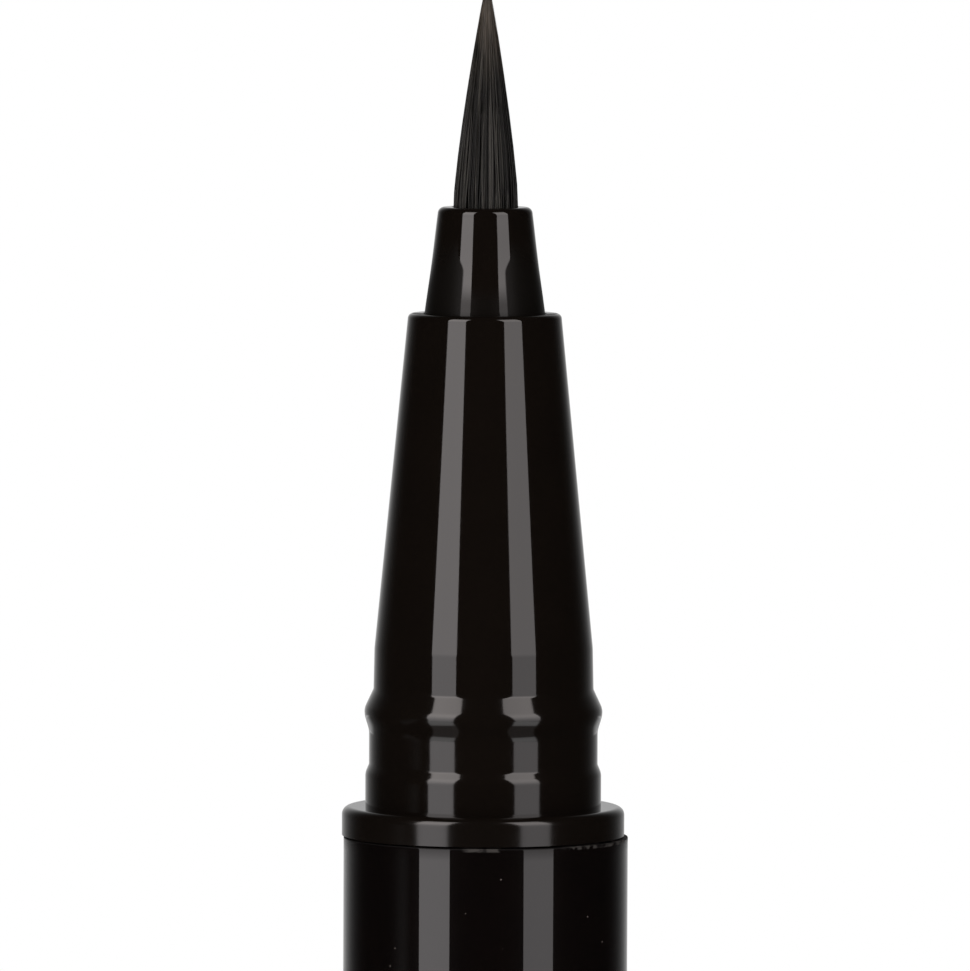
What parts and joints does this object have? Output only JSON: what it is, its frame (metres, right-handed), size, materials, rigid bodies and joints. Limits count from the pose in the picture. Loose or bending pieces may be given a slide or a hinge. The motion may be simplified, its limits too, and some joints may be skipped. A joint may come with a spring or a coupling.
{
  "type": "liquid eyeliner pen",
  "caption": "Slim black liquid eyeliner pen with a fibre brush tip, finned ink collector, a stirring ball and a click cap posted on its tail.",
  "frame": {"origin": "centre of the cap's closed end, on the surface that the pen stands on, tip up, with its cap posted on the tail", "axes": "+Z along the pen's axis, from the cap towards the brush's tip; +X and +Y have no mark on a round pen"},
  "size_m": [0.0104, 0.0104, 0.1549],
  "materials": {
    "front_plastic": "polished, moulded black",
    "barrel_lacquer": "high-gloss black lacquer",
    "brush_fibre": "fine dark synthetic filaments",
    "wick_fibre": "bonded fibre, soaked with ink",
    "collector_plastic": "matt",
    "natural_plastic": "natural, slightly milky",
    "liner_plastic": "moulded black",
    "seal_rubber": "matt black",
    "ball_steel": "polished",
    "spring_steel": "drawn wire"
  },
  "bodies": {
    "pen": {"brush_tip": "brush_fibre", "brush_holder": "front_plastic", "root_retainer": "natural_plastic", "feed_wick": "wick_fibre", "ink_collector": "collector_plastic", "front_shell": "front_plastic", "front_o_ring": "seal_rubber", "ball_guard": "natural_plastic", "ink_tank": "natural_plastic", "barrel_sleeve": "barrel_lacquer", "tail_plug": "front_plastic", "tail_o_ring": "seal_rubber"},
    "mixing_ball": {"mixing_ball": "ball_steel"},
    "cap": {"cap_shell": "barrel_lacquer", "cap_liner": "liner_plastic", "stop_ring": "natural_plastic", "seal_spring": "spring_steel"},
    "seal_cup": {"seal_cup": "natural_plastic", "cup_gasket": "seal_rubber"}
  },
  "joints": [
    {"name": "cap_pull", "type": "slide", "parent": "cap", "child": "pen", "axis": [0, 0, 1], "range_m": [0, 0.03]},
    {"name": "seal_cup_press", "type": "slide", "parent": "cap", "child": "seal_cup", "axis": [0, 0, -1], "range_m": [0, 0.0012], "stiffness_N_per_m": 100, "springref_m": -0.003, "deforming": ["seal_spring"]},
    {"name": "ball_roll", "type": "slide", "parent": "pen", "child": "mixing_ball", "axis": [0, 0, 1], "range_m": [0, 0.0709]}
  ]
}
